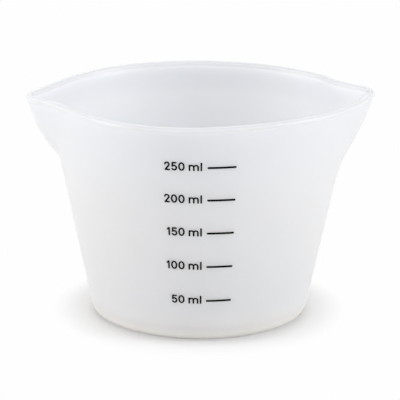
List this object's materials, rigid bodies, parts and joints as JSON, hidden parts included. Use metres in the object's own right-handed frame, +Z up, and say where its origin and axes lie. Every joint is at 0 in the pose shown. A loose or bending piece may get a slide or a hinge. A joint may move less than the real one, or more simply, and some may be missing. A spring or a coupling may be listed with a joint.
{
  "type": "resin mixing cup",
  "caption": "Soft translucent mixing cup with tapered round walls, a beaded rim, two opposite pouring spouts and printed scale lines.",
  "frame": {"origin": "centre of the flat foot, on the surface that the cup stands on", "axes": "+X towards one spout tip, +Z up towards the rim, -Y towards the printed scale"},
  "size_m": [0.1098, 0.0952, 0.07],
  "materials": {
    "silicone": "milky translucent moulded silicone, satin",
    "ink": "pad-printed black silicone ink, satin"
  },
  "bodies": {
    "root": {"cup": "silicone", "scale_line_250": "ink", "scale_line_200": "ink", "scale_line_150": "ink", "scale_line_100": "ink", "scale_line_50": "ink"}
  },
  "joints": []
}
